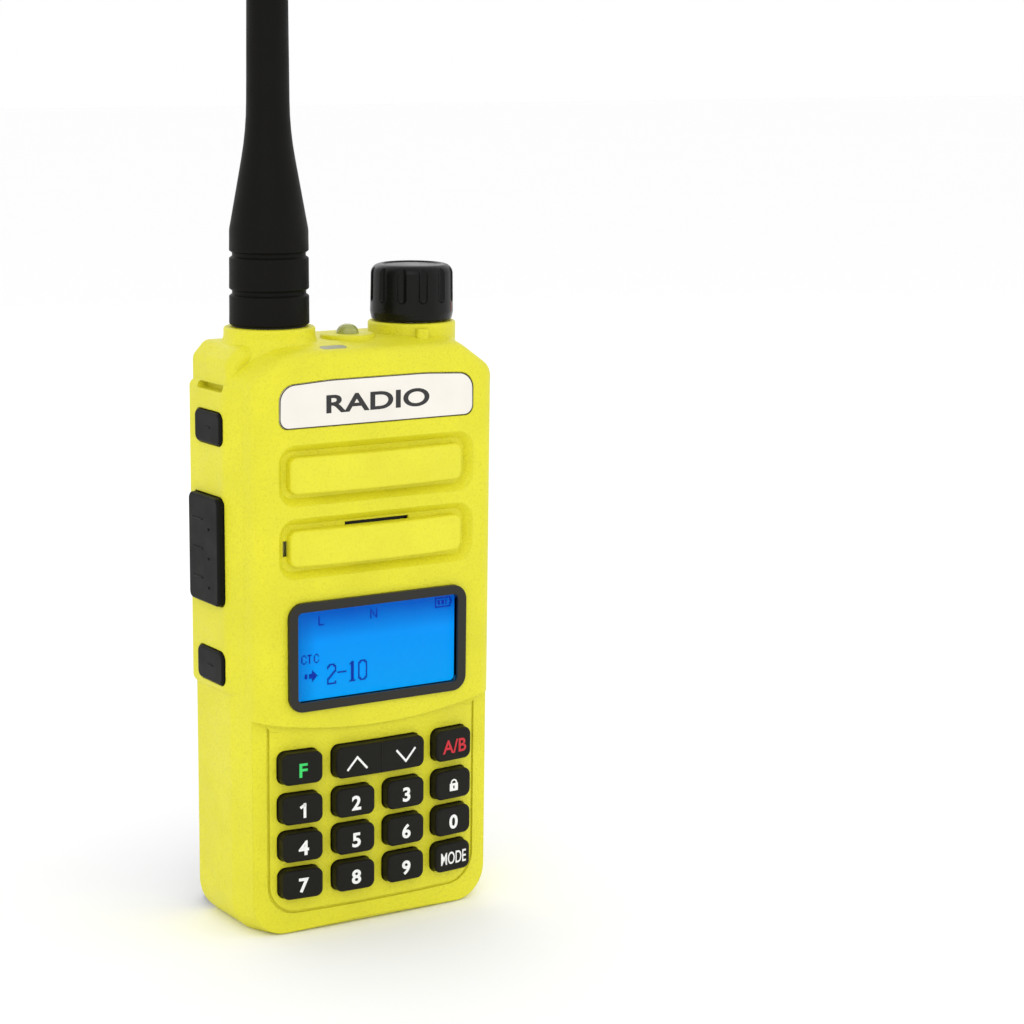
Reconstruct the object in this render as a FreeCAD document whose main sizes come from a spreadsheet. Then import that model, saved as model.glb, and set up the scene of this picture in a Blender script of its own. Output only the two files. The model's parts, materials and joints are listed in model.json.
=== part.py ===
import FreeCAD, Part
import math
import os
import Sketcher

# A handheld two way radio, in millimetres.
# Frame: origin at the middle of the bottom face that it stands on, +Z up along the antenna,
# -Y out of the front face, +X to the right as seen from the front.

Vector = FreeCAD.Vector
Rotation = FreeCAD.Rotation

doc = FreeCAD.newDocument("two_way_radio")
sheet = doc.addObject("Spreadsheet::Sheet", "dims")

DIMENSIONS = (
    ("front_y", -16.5, "plane of the flat front face"),
    ("seam_y", 6.2, "rear edge of the yellow shell"),
    ("back_y", 16.5, "rear face of the battery pack"),
    ("case_top", 114.8, "flat top of the case"),
    ("face_top", 113.4, "upper edge of the front face"),
    ("face_low", 0.5, "lower edge of the front face"),
    ("face_half", 26.0, "half width of the front face before rounding"),
    ("flank_grow", 1.8, "how far the flanks spread behind the front face"),
    ("flank_deep", 8.5, "depth of the bevelled part of the flanks"),
    ("shoulder_z", 108.3, "height where the shoulders start on the front face"),
    ("shoulder_slope", 35.5, "slope of the shoulders in degrees"),
    ("corner_low", 6.5, "radius of the lower corners on the front face"),
    ("edge_round", 2.8, "rounding between front face and flanks"),
    ("grip_half", 28.6, "half width over the side panels"),
    ("grip_top", 108.0, "upper end of the side panels"),
    ("grip_left_low", 47.2, "lower end of the left side panel"),
    ("grip_right_low", 56.9, "lower end of the right side panel"),
    ("lug_front", -9.0, "front end of the strap lug"),
    ("wall", 2.2, "thickness of the front wall"),
    ("inner_half", 25.6, "half width of the inside"),
    ("pad_wall", 3.7, "depth of the wall behind the keypad"),
    ("pad_curve", 200.0, "radius of the crowned keypad panel"),
    ("pad_sink", 0.5, "how deep the keypad panel lies at its middle"),
    ("chin_z", 40.4, "height of the chin line at the middle"),
    ("chin_curve", 104.0, "radius of the chin line"),
    ("groove_half", 23.2, "half width of the keypad outline groove"),
    ("groove_low", 4.4, "lower end of the keypad outline groove"),
    ("key_wide", 8.5, "width of a small key"),
    ("key_pitch", 11.4, "distance between key columns"),
    ("key_tall", 5.85, "height of a number key"),
    ("menu_tall", 6.35, "height of a top row key"),
    ("key_proud", 2.3, "how far a key stands out of its panel"),
    ("key_gap", 0.2, "clearance around a key"),
    ("key_corner", 1.5, "radius of the corners of a key"),
    ("key_back", 4.5, "depth of the back of a key behind the front face"),
    ("rocker_back", 4.8, "depth of the back of the rocking scroll key"),
    ("bar_half", 19.0, "half length of a speaker bar"),
    ("bar_tall", 7.0, "height of a speaker bar"),
    ("bar_high_z", 90.7, "middle of the upper speaker bar"),
    ("bar_low_z", 76.7, "middle of the lower speaker bar"),
    ("bar_proud", 1.3, "how far a bar stands out at its middle"),
    ("recess_deep", 1.6, "depth of the recess around a bar"),
    ("screen_z", 55.65, "middle of the display"),
    ("screen_wide", 39.6, "width of the display frame"),
    ("screen_tall", 21.3, "height of the display frame"),
    ("screen_proud", 0.8, "how far the display frame stands out"),
    ("view_wide", 35.9, "width of the viewing area"),
    ("view_tall", 17.7, "height of the viewing area"),
    ("label_half", 21.3, "half width of the name plate"),
    ("label_low", 99.7, "lower edge of the name plate"),
    ("label_high", 108.6, "upper edge of the name plate at its middle"),
    ("label_drop", 0.8, "how far the upper edge falls at its ends"),
    ("stem_x", 15.8, "sideways distance of the antenna and knob axes"),
    ("stem_y", -2.5, "depth of the antenna and knob axes"),
    ("aerial_collar", 8.75, "radius of the antenna collar"),
    ("aerial_foot", 10.8, "radius of the foot of the antenna collar"),
    ("aerial_seat", 117.5, "top of the antenna collar"),
    ("knob_collar", 8.6, "radius of the knob collar"),
    ("knob_seat", 117.0, "top of the knob collar"),
    ("aerial_base", 7.65, "radius of the antenna at its base"),
    ("aerial_tip", 282.0, "top of the antenna"),
    ("stud_radius", 3.1, "radius of the antenna stud over its thread"),
    ("knob_radius", 8.15, "radius of the volume knob"),
    ("knob_top", 128.2, "top of the volume knob"),
    ("shaft_radius", 3.0, "radius of the potentiometer shaft"),
    ("lamp_radius", 2.2, "radius of the lamp dome"),
    ("side_gap", 0.2, "clearance around a side key"),
    ("pack_half", 24.8, "half width of the battery pack"),
    ("pack_round", 7.0, "radius of the rear corners of the battery pack"),
    ("pack_front", 7.7, "front face of the battery pack"),
    ("pack_top", 92.7, "top of the battery pack"),
    ("board_y", -8.6, "front face of the main board"),
    ("post_x", 21.5, "sideways distance of the screw posts"),
    ("post_low", 43.5, "height of the lower screw posts"),
    ("post_high", 98.5, "height of the upper screw posts"),
    ("clip_pin_y", 19.8, "depth of the belt clip pin"),
    ("clip_pin_z", 104.0, "height of the belt clip pin"),
    ("thumb_z", 94.7, "middle of the latch thumb piece"),
    ("latch_rest", 97.6, "top of the latch slide, where its spring starts"),
    ("latch_roof", 102.8, "top of the room for the latch"),
    ("clip_half", 9.0, "half width of the belt clip"),
    ("jack_y", -1.5, "depth of the jack axes"),
    ("jack_high", 92.0, "height of the wide jack"),
    ("jack_low", 81.0, "height of the narrow jack"),
    ("wide_jack", 1.8, "bore radius of the 3.5 jack"),
    ("narrow_jack", 1.3, "bore radius of the 2.5 jack"),
    ("jack_deep", 12.0, "depth of both jack bores"),
)


class Size:
    """A length that knows its number and the sheet expression that gives it."""

    def __init__(self, number, text):
        self.number = number
        self.text = text

    def __add__(self, other):
        other = size(other)
        return Size(self.number + other.number, "(" + self.text + " + " + other.text + ")")

    def __sub__(self, other):
        other = size(other)
        return Size(self.number - other.number, "(" + self.text + " - " + other.text + ")")

    def __mul__(self, factor):
        return Size(self.number * factor, "(" + self.text + " * " + repr(factor) + ")")

    def __radd__(self, other):
        return size(other) + self

    def __rsub__(self, other):
        return size(other) - self

    def __neg__(self):
        return Size(-self.number, "(0 - " + self.text + ")")


def size(thing):
    if isinstance(thing, Size):
        return thing
    number = round(float(thing), 6)
    if number < 0:
        return Size(number, "(0 - " + repr(-number) + ")")
    return Size(number, repr(number))


for row, (alias, number, note) in enumerate(DIMENSIONS, 1):
    sheet.set("A" + str(row), note)
    sheet.set("B" + str(row), str(number))
    sheet.setAlias("B" + str(row), alias)
doc.recompute()


def dim(alias):
    return Size(float(sheet.get(alias)), "dims." + alias)


NODES = []


def keep(thing, label):
    """Registers a finished sub-part under the name of its file."""
    thing.Label = label
    NODES.append(thing)
    return thing


def bind(thing, prop, amount):
    thing.setExpression(prop, size(amount).text)


def put(thing, x=0, y=0, z=0):
    bind(thing, "Placement.Base.x", x)
    bind(thing, "Placement.Base.y", y)
    bind(thing, "Placement.Base.z", z)


# ---------------------------------------------------------------- primitives and booleans

def box(name, xs, ys, zs):
    solid = doc.addObject("Part::Box", name)
    bind(solid, "Length", size(xs[1]) - xs[0])
    bind(solid, "Width", size(ys[1]) - ys[0])
    bind(solid, "Height", size(zs[1]) - zs[0])
    put(solid, xs[0], ys[0], zs[0])
    return solid


def rod(name, axis, centre, radius, span):
    """A cylinder along X, Y or Z; centre holds the two other coordinates in X, Y, Z order."""
    solid = doc.addObject("Part::Cylinder", name)
    bind(solid, "Radius", radius)
    bind(solid, "Height", size(span[1]) - span[0])
    if axis == "X":
        solid.Placement = FreeCAD.Placement(Vector(), Rotation(Vector(0, 1, 0), 90))
        put(solid, span[0], centre[0], centre[1])
    elif axis == "Y":
        solid.Placement = FreeCAD.Placement(Vector(), Rotation(Vector(1, 0, 0), -90))
        put(solid, centre[0], span[0], centre[1])
    else:
        put(solid, centre[0], centre[1], span[0])
    return solid


def fuse(name, solids):
    joined = doc.addObject("Part::MultiFuse", name)
    joined.Shapes = solids
    joined.Refine = True
    return joined


def group(name, solids):
    """Several solids that share a node and stay apart."""
    joined = doc.addObject("Part::Compound", name)
    joined.Links = solids
    return joined


def cut(name, base, tools):
    tool = tools[0] if len(tools) == 1 else fuse(name + "_tools", tools)
    result = doc.addObject("Part::Cut", name)
    result.Base = base
    result.Tool = tool
    result.Refine = True
    return result


def common(name, first, second):
    result = doc.addObject("Part::Common", name)
    result.Base = first
    result.Tool = second
    return result


def soften(name, base, radius, wanted):
    """Rounds every edge of base for which wanted(edge) is true."""
    doc.recompute()
    rounded = doc.addObject("Part::Fillet", name)
    rounded.Base = base
    amount = size(radius).number
    rounded.Edges = [(number, amount, amount)
                     for number, edge in enumerate(base.Shape.Edges, 1) if wanted(edge)]
    return rounded


# ---------------------------------------------------------------- sketched bodies

PLANES = {"XY": "XY_Plane", "XZ": "XZ_Plane", "YZ": "YZ_Plane"}


def origin_plane(body, plane):
    return [feature for feature in body.Origin.OriginFeatures if feature.Role == PLANES[plane]][0]


def corner_geometry(before, here, after, radius):
    """Tangent points and centre of the arc that rounds one corner of an outline."""
    to_before = (before - here).normalize()
    to_after = (after - here).normalize()
    half_angle = to_before.getAngle(to_after) / 2
    reach = radius / math.tan(half_angle)
    middle = (to_before + to_after).normalize()
    centre = here + middle * (radius / math.sin(half_angle))
    return here + to_before * reach, here + to_after * reach, centre


def outline(body, plane, level, corners):
    """A closed sketch through corners (u, v) or (u, v, radius), each bound to the sheet."""
    sketch = body.newObject("Sketcher::SketchObject", body.Name + "_sketch")
    sketch.AttachmentSupport = [(origin_plane(body, plane), "")]
    sketch.MapMode = "FlatFace"
    bind(sketch, "AttachmentOffset.Base.z", level)
    corners = [tuple(size(part) for part in corner) for corner in corners]
    places = [Vector(corner[0].number, corner[1].number, 0) for corner in corners]
    count = len(corners)
    turns = []
    for index, corner in enumerate(corners):
        here = places[index]
        if len(corner) < 3:
            turns.append((here, here, None))
        else:
            turns.append(corner_geometry(places[index - 1], here, places[(index + 1) % count],
                                         corner[2].number))
    lines = []
    for index in range(count):
        start = turns[index][1]
        stop = turns[(index + 1) % count][0]
        lines.append(sketch.addGeometry(Part.LineSegment(start, stop), False))
    for index, corner in enumerate(corners):
        line_in, line_out = lines[index - 1], lines[index]
        if len(corner) < 3:
            sketch.addConstraint(Sketcher.Constraint("Coincident", line_in, 2, line_out, 1))
            pin_point(sketch, line_out, 1, corner)
            continue
        first, last, centre = turns[index]
        arc, starts_first = add_arc(sketch, first, last, centre, corner[2].number)
        arc_in, arc_out = (1, 2) if starts_first else (2, 1)
        sketch.addConstraint(Sketcher.Constraint("Tangent", line_in, 2, arc, arc_in))
        sketch.addConstraint(Sketcher.Constraint("Tangent", line_out, 1, arc, arc_out))
        fix = sketch.addConstraint(Sketcher.Constraint("Radius", arc, corner[2].number))
        sketch.setExpression("Constraints[" + str(fix) + "]", corner[2].text)
        tip = sketch.addGeometry(Part.Point(places[index]), True)
        sketch.addConstraint(Sketcher.Constraint("PointOnObject", tip, 1, line_in))
        sketch.addConstraint(Sketcher.Constraint("PointOnObject", tip, 1, line_out))
        pin_point(sketch, tip, 1, corner)
    return sketch


def add_arc(sketch, first, last, centre, radius):
    """Adds the short arc between two points and says whether it starts at the first."""
    a_first = math.atan2(first.y - centre.y, first.x - centre.x)
    a_last = math.atan2(last.y - centre.y, last.x - centre.x)
    sweep = (a_last - a_first) % (2 * math.pi)
    starts_first = sweep < math.pi
    begin, end = (a_first, a_first + sweep) if starts_first else (a_last, a_last + 2 * math.pi - sweep)
    circle = Part.Circle(centre, Vector(0, 0, 1), radius)
    return sketch.addGeometry(Part.ArcOfCircle(circle, begin, end), False), starts_first


def pin_point(sketch, geometry, place, corner):
    for kind, amount in (("DistanceX", corner[0]), ("DistanceY", corner[1])):
        fix = sketch.addConstraint(Sketcher.Constraint(kind, geometry, place, amount.number))
        sketch.setExpression("Constraints[" + str(fix) + "]", amount.text)


def prism(name, plane, corners, span, taper=0.0):
    """A padded outline that fills span along the normal of its plane.

    A positive taper widens it towards -Y for XZ, towards +Z for XY and towards +X for YZ.
    """
    body = doc.addObject("PartDesign::Body", name)
    low, high = size(span[0]), size(span[1])
    sketch = outline(body, plane, -high if plane == "XZ" else low, corners)
    pad = body.newObject("PartDesign::Pad", name + "_pad")
    pad.Profile = sketch
    bind(pad, "Length", high - low)
    pad.TaperAngle = taper
    body.Tip = pad
    return body


def rounded(centre, wide, tall, radius):
    """Corners of a rectangle with round corners about a centre."""
    u, v = size(centre[0]), size(centre[1])
    half_u, half_v = size(wide) * 0.5, size(tall) * 0.5
    return [(u - half_u, v - half_v, radius), (u + half_u, v - half_v, radius),
            (u + half_u, v + half_v, radius), (u - half_u, v + half_v, radius)]


def lathe(name, centre, corners):
    """A turned body: corners are (radius, height) about a vertical axis through centre."""
    body = doc.addObject("PartDesign::Body", name)
    sketch = outline(body, "XZ", 0, corners)
    turned = body.newObject("PartDesign::Revolution", name + "_turn")
    turned.Profile = sketch
    turned.ReferenceAxis = (sketch, ["V_Axis"])
    turned.Angle = 360
    body.Tip = turned
    put(body, centre[0], centre[1], 0)
    return body


FRONT = dim("front_y")
SEAM = dim("seam_y")
STEM_X = dim("stem_x")
STEM_Y = dim("stem_y")


# ---------------------------------------------------------------- case

def case_outline(grow):
    """Front view of the case, spread outwards by grow."""
    slope = math.radians(dim("shoulder_slope").number)
    side = dim("face_half") + grow
    low = dim("face_low") - grow
    top = dim("face_top") + grow
    lift = grow * (1 / math.cos(slope) - math.tan(slope))
    shoulder = dim("shoulder_z") + lift
    run = (top - dim("shoulder_z") - grow * (1 / math.cos(slope))) * (1 / math.tan(slope))
    crest = dim("face_half") - run
    low_round = dim("corner_low") + grow
    return [(-side, low, low_round), (side, low, low_round), (side, shoulder, 3 + grow),
            (crest, top, 6 + grow), (-crest, top, 6 + grow), (-side, shoulder, 3 + grow)]


def case_block():
    """The outside of the case before any opening is cut."""
    grow = dim("flank_grow")
    deep = FRONT + dim("flank_deep")
    angle = math.degrees(math.atan(grow.number / dim("flank_deep").number))
    # The bevelled front part narrows towards the front face, the rear part is straight.
    nose = prism("case_nose", "XZ", case_outline(grow), (FRONT, deep), -angle)
    rear = prism("case_rear", "XZ", case_outline(grow), (deep, SEAM))
    nose_round = soften("case_nose_round", nose, dim("edge_round"),
                        lambda edge: edge.BoundBox.YMax < FRONT.number + 1e-3)
    block = fuse("case_shell", [nose_round, rear])
    limits = box("case_limits", (-40, 40), (-30, 30), (0, dim("case_top")))
    return common("case_level", block, limits)


def grip_panel(side, low):
    """The raised panel along one flank; side is -1 on the left and 1 on the right."""
    outer = dim("grip_half")
    section = [(outer - 3.1, FRONT + 4.2), (outer - 1.7, FRONT + 4.2), (outer, FRONT + 9, 5),
               (outer, SEAM), (outer - 3.1, SEAM)]
    corners = section if side > 0 else [(-corner[0],) + corner[1:] for corner in reversed(section)]
    name = "grip_right" if side > 0 else "grip_left"
    panel = prism(name, "XY", corners, (low, dim("grip_top")))
    reach = outer.number - 2.5
    ends = (size(low).number, dim("grip_top").number)
    return soften(name + "_round", panel, 2.0,
                  lambda edge: (side * edge.BoundBox.Center.x > reach
                                and edge.BoundBox.ZLength < 1e-4
                                and edge.BoundBox.YMin > FRONT.number + 4.25
                                and min(abs(edge.BoundBox.ZMin - end) for end in ends) < 1e-3))


def strap_lug():
    """The squarer left shoulder that carries the strap slot."""
    side = dim("face_half") + dim("flank_grow")
    lug = prism("strap_lug", "XZ",
                [(-side, 103), (-16, 103), (-16, 114.6), (-side + 2.6, 114.6, 2.4), (-side, 111.8, 2)],
                (dim("lug_front"), SEAM))
    return soften("strap_lug_round", lug, 2.0,
                  lambda edge: (edge.BoundBox.YMax < dim("lug_front").number + 1e-3
                                and edge.BoundBox.ZMax > 105
                                and edge.BoundBox.XMin < -16.5))


def keypad_relief():
    """What is cut away to leave the crowned keypad panel under the chin line."""
    slab = box("relief_slab", (-32, 32), (FRONT - 2, FRONT + 8), (-2, 50))
    axis_y = FRONT + dim("pad_sink") + dim("pad_curve")
    crown = rod("relief_crown", "Z", (0, axis_y), dim("pad_curve"), (-3, 51))
    chin = rod("relief_chin", "Y", (0, dim("chin_z") + dim("chin_curve")), dim("chin_curve"),
               (FRONT - 3, FRONT + 9))
    return cut("keypad_relief", slab, [crown, chin])


def keypad_groove():
    """The thin groove that frames the keypad."""
    half = dim("groove_half")
    low = dim("groove_low")
    middle = (low + 48) * 0.5
    ring_outer = prism("groove_outer", "XZ", rounded((0, middle), half * 2 + 0.5, 48.5 - low, 6),
                       (FRONT - 1, FRONT + 4))
    ring_inner = prism("groove_inner", "XZ", rounded((0, middle), half * 2 - 0.5, 47.5 - low, 5.5),
                       (FRONT - 2, FRONT + 5))
    axis_y = FRONT + dim("pad_sink") + dim("pad_curve")
    bed = rod("groove_bed", "Z", (0, axis_y), dim("pad_curve") - 0.5, (-3, 60))
    top = box("groove_top", (-32, 32), (FRONT - 3, FRONT + 6), (42.6, 60))
    return cut("keypad_groove", ring_outer, [ring_inner, bed, top])


def inside():
    """The hollow of the case, shallower behind the keypad."""
    half = dim("inner_half")
    hollow = prism("hollow_high", "XZ",
                   [(-half, 2.4, 3.5), (half, 2.4, 3.5), (half, 107.5, 1.5), (20.5, 111, 2),
                    (-20.5, 111, 2), (-half, 107.5, 1.5)],
                   (FRONT + dim("pad_wall"), SEAM + 1))
    upper = prism("hollow_upper", "XZ",
                  [(-half + 0.8, 43.0, 2), (half - 0.8, 43.0, 2), (half - 0.8, 107, 1.5),
                   (20.2, 110.5, 2), (-20.2, 110.5, 2), (-half + 0.8, 107, 1.5)],
                  (FRONT + dim("wall"), FRONT + dim("pad_wall") + 1))
    return fuse("inside", [hollow, upper])


def label_corners(extra):
    half = dim("label_half") + extra
    low = dim("label_low") - extra
    high = dim("label_high") + extra
    ends = high - dim("label_drop")
    mid = dim("label_half") * 0.5
    near = high - dim("label_drop") * 0.25
    return [(-half, low, 1.8), (half, low, 1.8), (half, ends, 3.2), (mid, near, 60),
            (-mid, near, 60), (-half, ends, 3.2)]


def key_layout():
    """Name, column position, width, row height position and height of all keys."""
    pitch = dim("key_pitch")
    wide = dim("key_wide")
    tall = dim("key_tall")
    top = dim("menu_tall")
    rows = (33.9, 25.7, 18.15, 10.6)
    columns = [pitch * -1.5, pitch * -0.5, pitch * 0.5, pitch * 1.5]
    keys = [("function_key", columns[0], wide, rows[0], top),
            ("scroll_key", size(0), wide + pitch, rows[0], top),
            ("band_key", columns[3], wide, rows[0], top)]
    names = (("key_1", "key_2", "key_3", "lock_key"), ("key_4", "key_5", "key_6", "key_0"),
             ("key_7", "key_8", "key_9", "mode_key"))
    for row, row_names in enumerate(names, 1):
        for column, name in enumerate(row_names):
            keys.append((name, columns[column], wide, rows[row], tall))
    return keys


# Side keys on the left flank: name, rear and front limits, lower and upper limits, how proud.
SIDE_KEYS = (
    ("monitor_key", -7.3, 3.3, 95.9, 102.1, 0.55),
    ("talk_key", -7.5, 4.9, 65.0, 85.9, 1.3),
    ("call_key", -7.3, 3.3, 49.4, 55.9, 0.55),
)


def case_openings():
    tools = [inside(), keypad_relief(), keypad_groove()]
    gap = dim("key_gap")
    for name, x, wide, z, tall in key_layout():
        hole = rounded((x, z), wide + gap * 2, tall + gap * 2, dim("key_corner") + gap)
        tools.append(prism(name + "_hole", "XZ", hole, (FRONT - 2, FRONT + 6)))
    tools.append(prism("screen_hole", "XZ",
                       rounded((0, dim("screen_z")), dim("screen_wide"), dim("screen_tall"), 3),
                       (FRONT - 2, FRONT + 4)))
    tools.append(prism("label_pocket", "XZ", label_corners(0.12), (FRONT - 2, FRONT + 0.35)))
    slope = 40.0
    for name, z in (("bar_high_recess", dim("bar_high_z")), ("bar_low_recess", dim("bar_low_z"))):
        tools.append(prism(name, "XZ", rounded((0, z), dim("bar_half") * 2 + 2.4,
                                               dim("bar_tall") + 2.0, 2.2),
                           (FRONT - 0.4, FRONT + dim("recess_deep")), slope))
    slot_z = dim("bar_low_z") + dim("bar_tall") * 0.5
    tools.append(box("sound_slot", (-6.4, 7.8), (FRONT, FRONT + 3), (slot_z - 0.2, slot_z + 0.6)))
    tools.append(box("voice_slot", (-19.9, -18.9), (FRONT, FRONT + 3), (75.2, 78.2)))
    side = dim("grip_half")
    clear = dim("side_gap")
    for name, near, far, low, high, proud in SIDE_KEYS:
        span = (far - near, high - low)
        middle = ((near + far) / 2, (low + high) / 2)
        tools.append(prism(name + "_hole", "YZ",
                           rounded(middle, clear * 2 + span[0], clear * 2 + span[1], 1.6),
                           (-side - 2, -side + 4)))
        tools.append(prism(name + "_step", "YZ",
                           rounded(middle, clear * 2 + span[0] + 1.4, clear * 2 + span[1] + 1.4, 1.8),
                           (-side + 1.3, -side + 4)))
    tools.append(prism("strap_slot", "YZ", rounded((-2.2, 106.7), 10.2, 1.3, 0.6),
                       (-side - 2, -side + 2.1)))
    tools.append(prism("cover_pocket", "YZ", rounded((dim("jack_y"), 87), 12, 20, 1.6),
                       (side - 1.35, side + 2)))
    tools.append(prism("jack_hole", "YZ", rounded((dim("jack_y"), 86.5), 9, 18, 1.2),
                       (side - 5, side + 1)))
    tools.append(rod("aerial_hole", "Z", (-STEM_X, STEM_Y), dim("stud_radius"), (105, 120)))
    tools.append(rod("knob_recess", "Z", (STEM_X, STEM_Y), 6.0, (115, 120)))
    tools.append(rod("bushing_hole", "Z", (STEM_X, STEM_Y), 3.9, (105, 120)))
    tools.append(rod("lamp_hole", "Z", (-0.5, -5.7), dim("lamp_radius"), (105, 120)))
    tools.append(status_prism("status_hole", 0.0))
    return tools


def collars():
    """The round seats on top of the case for the antenna, the knob and the lamp."""
    collar, foot, seat = dim("aerial_collar"), dim("aerial_foot"), dim("aerial_seat")
    aerial = lathe("aerial_collar_ring", (-STEM_X, STEM_Y),
                   [(0, 108), (foot, 108), (foot, 110.6, 0.8), (collar, 115.6, 3), (collar, seat, 0.5),
                    (0, seat)])
    knob = rod("knob_collar_ring", "Z", (STEM_X, STEM_Y), dim("knob_collar"), (108, dim("knob_seat")))
    lamp = rod("lamp_seat", "Z", (-0.5, -5.7), 5.3, (110, dim("case_top") + 0.8))
    rims = [aerial]
    for name, ring, top in (("knob_collar_round", knob, dim("knob_seat")),
                            ("lamp_seat_round", lamp, dim("case_top") + 0.8)):
        rims.append(soften(name, ring, 0.5,
                           lambda edge, level=top.number: edge.BoundBox.ZMin > level - 1e-3))
    pointer = prism("knob_pointer", "XY", rounded((0, -8.9), 2.4, 2.6, 0.7), (110, 116.2))
    pointer.Placement = FreeCAD.Placement(Vector(), Rotation(Vector(0, 0, 1), -18))
    put(pointer, STEM_X, STEM_Y, 0)
    rims.append(pointer)
    return rims


def screw_posts():
    return [rod("post_" + str(index), "Y", (x, z), 2.4, (FRONT + 1.5, dim("board_y")))
            for index, (x, z) in enumerate(post_places())]


def post_places():
    x = dim("post_x")
    return [(-x, dim("post_low")), (x, dim("post_low")), (-x, dim("post_high")),
            (x, dim("post_high"))]


def front_case():
    block = fuse("case_block", [case_block(), grip_panel(-1, dim("grip_left_low")),
                                grip_panel(1, dim("grip_right_low")), strap_lug()] + collars())
    trimmed = common("case_trimmed", block,
                     box("case_trim", (-40, 40), (-30, SEAM), (0, 140)))
    opened = cut("case_opened", trimmed, case_openings())
    holes = [rod("post_hole_" + str(index), "Y", (x, z), 1.0, (FRONT + 3, dim("board_y") + 1))
             for index, (x, z) in enumerate(post_places())]
    pegs = fuse("case_posts", [opened] + screw_posts())
    keep(cut("front_case_solid", pegs, holes), "front_case")


# ---------------------------------------------------------------- front trim and display

def name_plate():
    keep(prism("plate", "XZ", label_corners(0), (FRONT - 0.1, FRONT + 0.35)), "name_plate")


def speaker_bars():
    for label, z in (("upper_speaker_bar", dim("bar_high_z")), ("lower_speaker_bar", dim("bar_low_z"))):
        blank = prism(label + "_blank", "XZ", rounded((0, z), dim("bar_half") * 2, dim("bar_tall"), 1.6),
                      (FRONT - 3, FRONT + dim("recess_deep")))
        crown = rod(label + "_crown", "Z", (0, FRONT - dim("bar_proud") + 140), 140, (60, 110))
        bar = common(label + "_bar", blank, crown)
        rear = FRONT.number + dim("recess_deep").number
        keep(soften(label + "_soft", bar, 0.6,
                    lambda edge, limit=rear: edge.BoundBox.YMax < limit - 0.2
                    and edge.BoundBox.YMin < FRONT.number + 0.5), label)


def display():
    z = dim("screen_z")
    rim = FRONT - dim("screen_proud")
    outer = prism("bezel_outer", "XZ", rounded((0, z), dim("screen_wide"), dim("screen_tall"), 3),
                  (rim, rim + 1.6))
    inner = prism("bezel_inner", "XZ", rounded((0, z), dim("view_wide"), dim("view_tall"), 1),
                  (rim - 1, rim + 3))
    keep(cut("bezel", outer, [inner]), "display_frame")
    keep(prism("lens", "XZ", rounded((0, z), dim("view_wide"), dim("view_tall"), 1),
               (rim + 0.6, rim + 1.4)), "display_lens")
    keep(prism("panel", "XZ", rounded((0, z), dim("view_wide") + 2, dim("view_tall") + 2, 1),
               (rim + 1.6, rim + 3.2)), "lcd_panel")
    keep(prism("backlight", "XZ", rounded((0, z), dim("view_wide") + 2, dim("view_tall") + 2, 1),
               (rim + 3.2, rim + 4.8)), "lcd_backlight")


# ---------------------------------------------------------------- keypad

def keypad_keys():
    axis_y = FRONT + dim("pad_sink") + dim("pad_curve")
    radius = dim("pad_curve") + dim("key_proud")
    for name, x, wide, z, tall in key_layout():
        back = FRONT + (dim("rocker_back") if name == "scroll_key" else dim("key_back"))
        cap = prism(name + "_cap", "XZ", rounded((x, z), wide, tall, dim("key_corner")), (FRONT - 3, back))
        crown = rod(name + "_crown", "Z", (0, axis_y), radius, (0, 45))
        face = common(name + "_face", cap, crown)
        rim = soften(name + "_rim", face, 0.55,
                     lambda edge: edge.BoundBox.YMax < FRONT.number + 2.2)
        flange = prism(name + "_flange", "XZ", rounded((x, z), wide + 0.9, tall + 0.9, 1.6),
                       (back - 0.55, back))
        keep(fuse(name + "_key", [rim, flange]), name)


def keypad_backing():
    mat = box("mat_sheet", (-23.5, 23.5), (FRONT + 5.3, FRONT + 5.9), (5, 39))
    keep(mat, "keypad_mat")
    board = box("key_board_sheet", (-23.5, 23.5), (FRONT + 5.95, FRONT + 6.75), (4.5, 39.5))
    keep(board, "key_board")


# ---------------------------------------------------------------- side keys

def side_keys():
    side = dim("grip_half")
    for name, near, far, low, high, proud in SIDE_KEYS:
        middle = ((near + far) / 2, (low + high) / 2)
        wide, tall = far - near, high - low
        cap = prism(name + "_cap", "YZ", rounded(middle, wide, tall, 1.4), (-side - proud, -side + 2.0))
        outer = -side.number - proud
        rim = soften(name + "_rim", cap, 0.5,
                     lambda edge, level=outer: edge.BoundBox.XMax < level + 1e-3)
        flange = prism(name + "_flange", "YZ", rounded(middle, wide + 1.0, tall + 1.0, 1.6),
                       (-side + 1.5, -side + 2.0))
        keep(fuse(name + "_key", [rim, flange]), name)


def side_switches():
    board = box("switch_strip", (-24.9, -24.4), (-6.5, 2.5), (50, 101))
    domes = [rod("switch_dome_" + str(index), "X", (-2, z), 1.6, (-25.4, -24.9))
             for index, z in enumerate((52.65, 70, 81, 99))]
    keep(fuse("switch_board", [board] + domes), "side_switches")


# ---------------------------------------------------------------- top

def status_prism(name, lift):
    """The small oval light pipe that follows the slope at the top of the front face."""
    pipe = prism(name, "XY", rounded((0, 0), 5.6, 2.0, 0.95), (-3.4, lift))
    pipe.Placement = FreeCAD.Placement(Vector(), Rotation(Vector(1, 0, 0), 12))
    put(pipe, -8, FRONT + 3.2, 114.08)
    return pipe


def lights():
    keep(lathe("lamp_dome", (-0.5, -5.7),
               [(0, 112.6), (dim("lamp_radius"), 112.6), (dim("lamp_radius"), 117.4, 1.9), (0, 117.4)]),
         "lamp_lens")
    keep(status_prism("status_pipe", 0.0), "status_window")


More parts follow.
